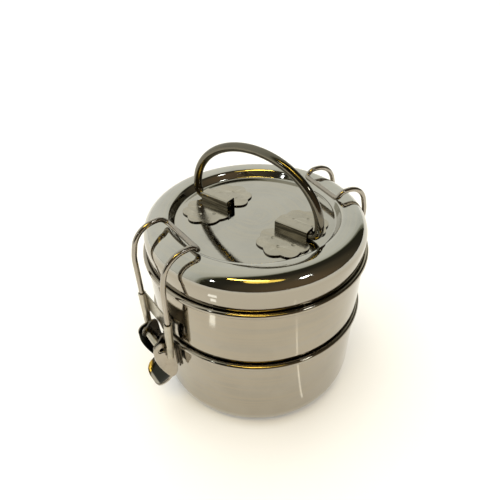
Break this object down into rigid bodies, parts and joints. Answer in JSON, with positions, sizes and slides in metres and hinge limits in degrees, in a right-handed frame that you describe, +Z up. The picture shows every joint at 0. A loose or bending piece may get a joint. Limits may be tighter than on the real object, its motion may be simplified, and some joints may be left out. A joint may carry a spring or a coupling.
{
  "type": "tiffin carrier",
  "caption": "Stacked round steel food carrier with a recessed lid, a folding bail handle and side clamps with wire hoops.",
  "frame": {"origin": "centre of the round base, on the surface it stands on", "axes": "+Z up; +X to one clamp and -X to the other; +Y completes the right-handed frame"},
  "size_m": [0.1773, 0.1438, 0.1758],
  "materials": {
    "lower_bowl": "polished stainless steel",
    "upper_bowl": "polished stainless steel",
    "lid": "polished stainless steel",
    "bail_handle": "polished stainless steel",
    "bail_bracket_right": "pressed stainless sheet with spot-weld marks",
    "bail_bracket_left": "pressed stainless sheet with spot-weld marks",
    "base_bracket_right": "pressed stainless sheet, lightly polished",
    "lever_pin_right": "pressed stainless sheet, lightly polished",
    "lever_right": "pressed stainless sheet, lightly polished",
    "hinge_washer_a_right": "pressed stainless sheet, lightly polished",
    "hinge_washer_b_right": "pressed stainless sheet, lightly polished",
    "wire_hoop_right": "polished stainless steel",
    "link_plate_right": "pressed stainless sheet, lightly polished",
    "base_bracket_left": "pressed stainless sheet, lightly polished",
    "lever_pin_left": "pressed stainless sheet, lightly polished",
    "lever_left": "pressed stainless sheet, lightly polished",
    "hinge_washer_a_left": "pressed stainless sheet, lightly polished",
    "hinge_washer_b_left": "pressed stainless sheet, lightly polished",
    "wire_hoop_left": "polished stainless steel",
    "link_plate_left": "pressed stainless sheet, lightly polished"
  },
  "bodies": {
    "base": {"lower_bowl": "lower_bowl", "base_bracket_right": "base_bracket_right", "lever_pin_right": "lever_pin_right", "base_bracket_left": "base_bracket_left", "lever_pin_left": "lever_pin_left"},
    "upper_tier": {"upper_bowl": "upper_bowl"},
    "lid_group": {"lid": "lid", "bail_bracket_right": "bail_bracket_right", "bail_bracket_left": "bail_bracket_left"},
    "bail": {"bail_handle": "bail_handle"},
    "lever_body_left": {"lever_left": "lever_left"},
    "link_left": {"hinge_washer_a_left": "hinge_washer_a_left", "hinge_washer_b_left": "hinge_washer_b_left"},
    "hoop_left": {"wire_hoop_left": "wire_hoop_left", "link_plate_left": "link_plate_left"},
    "lever_body_right": {"lever_right": "lever_right"},
    "link_right": {"hinge_washer_a_right": "hinge_washer_a_right", "hinge_washer_b_right": "hinge_washer_b_right"},
    "hoop_right": {"wire_hoop_right": "wire_hoop_right", "link_plate_right": "link_plate_right"}
  },
  "joints": [
    {"name": "tier_lift", "type": "slide", "parent": "base", "child": "upper_tier", "axis": [0, 0, 1], "range_m": [0, 0.0089]},
    {"name": "lid_lift", "type": "slide", "parent": "base", "child": "lid_group", "axis": [0, 0, 1], "range_m": [0, 0.0187]},
    {"name": "bail_fold", "type": "hinge", "parent": "lid_group", "child": "bail", "pos_m": [-0.00239, -0.00177, 0.1312], "axis": [0.289, -0.9573, 0], "range_deg": [-80, 80]},
    {"name": "lever_left_swing", "type": "hinge", "parent": "base", "child": "lever_body_left", "pos_m": [-0.08089, -0.00113, 0.0695], "axis": [-0.014, 0.9999, 0], "range_deg": [0, 79]},
    {"name": "link_left_turn", "type": "hinge", "parent": "lever_body_left", "child": "link_left", "pos_m": [-0.07729, -0.00108, 0.0642], "axis": [0.014, -0.9999, 0], "range_deg": [0, 95.3]},
    {"name": "hoop_left_swing", "type": "hinge", "parent": "link_left", "child": "hoop_left", "pos_m": [-0.07729, -0.00108, 0.0642], "axis": [0.014, -0.9999, 0], "range_deg": [0, 69]},
    {"name": "lever_right_swing", "type": "hinge", "parent": "base", "child": "lever_body_right", "pos_m": [0.07979, -0.01335, 0.0695], "axis": [-0.165, -0.9863, 0], "range_deg": [0, 79]},
    {"name": "link_right_turn", "type": "hinge", "parent": "lever_body_right", "child": "link_right", "pos_m": [0.07624, -0.01276, 0.0642], "axis": [0.165, 0.9863, 0], "range_deg": [0, 95.3]},
    {"name": "hoop_right_swing", "type": "hinge", "parent": "link_right", "child": "hoop_right", "pos_m": [0.07624, -0.01276, 0.0642], "axis": [0.165, 0.9863, 0], "range_deg": [0, 69]}
  ],
  "couplings": [
    {"joint": "link_left_turn", "follows": "lever_left_swing", "ratio": 1.2},
    {"joint": "link_right_turn", "follows": "lever_right_swing", "ratio": 1.2},
    {"joint": "tier_lift", "follows": "lid_lift", "ratio": 0.474},
    {"joint": "hoop_left_swing", "follows": "lid_lift", "rad_per_m": 64.3},
    {"joint": "hoop_right_swing", "follows": "lid_lift", "rad_per_m": 64.3}
  ]
}
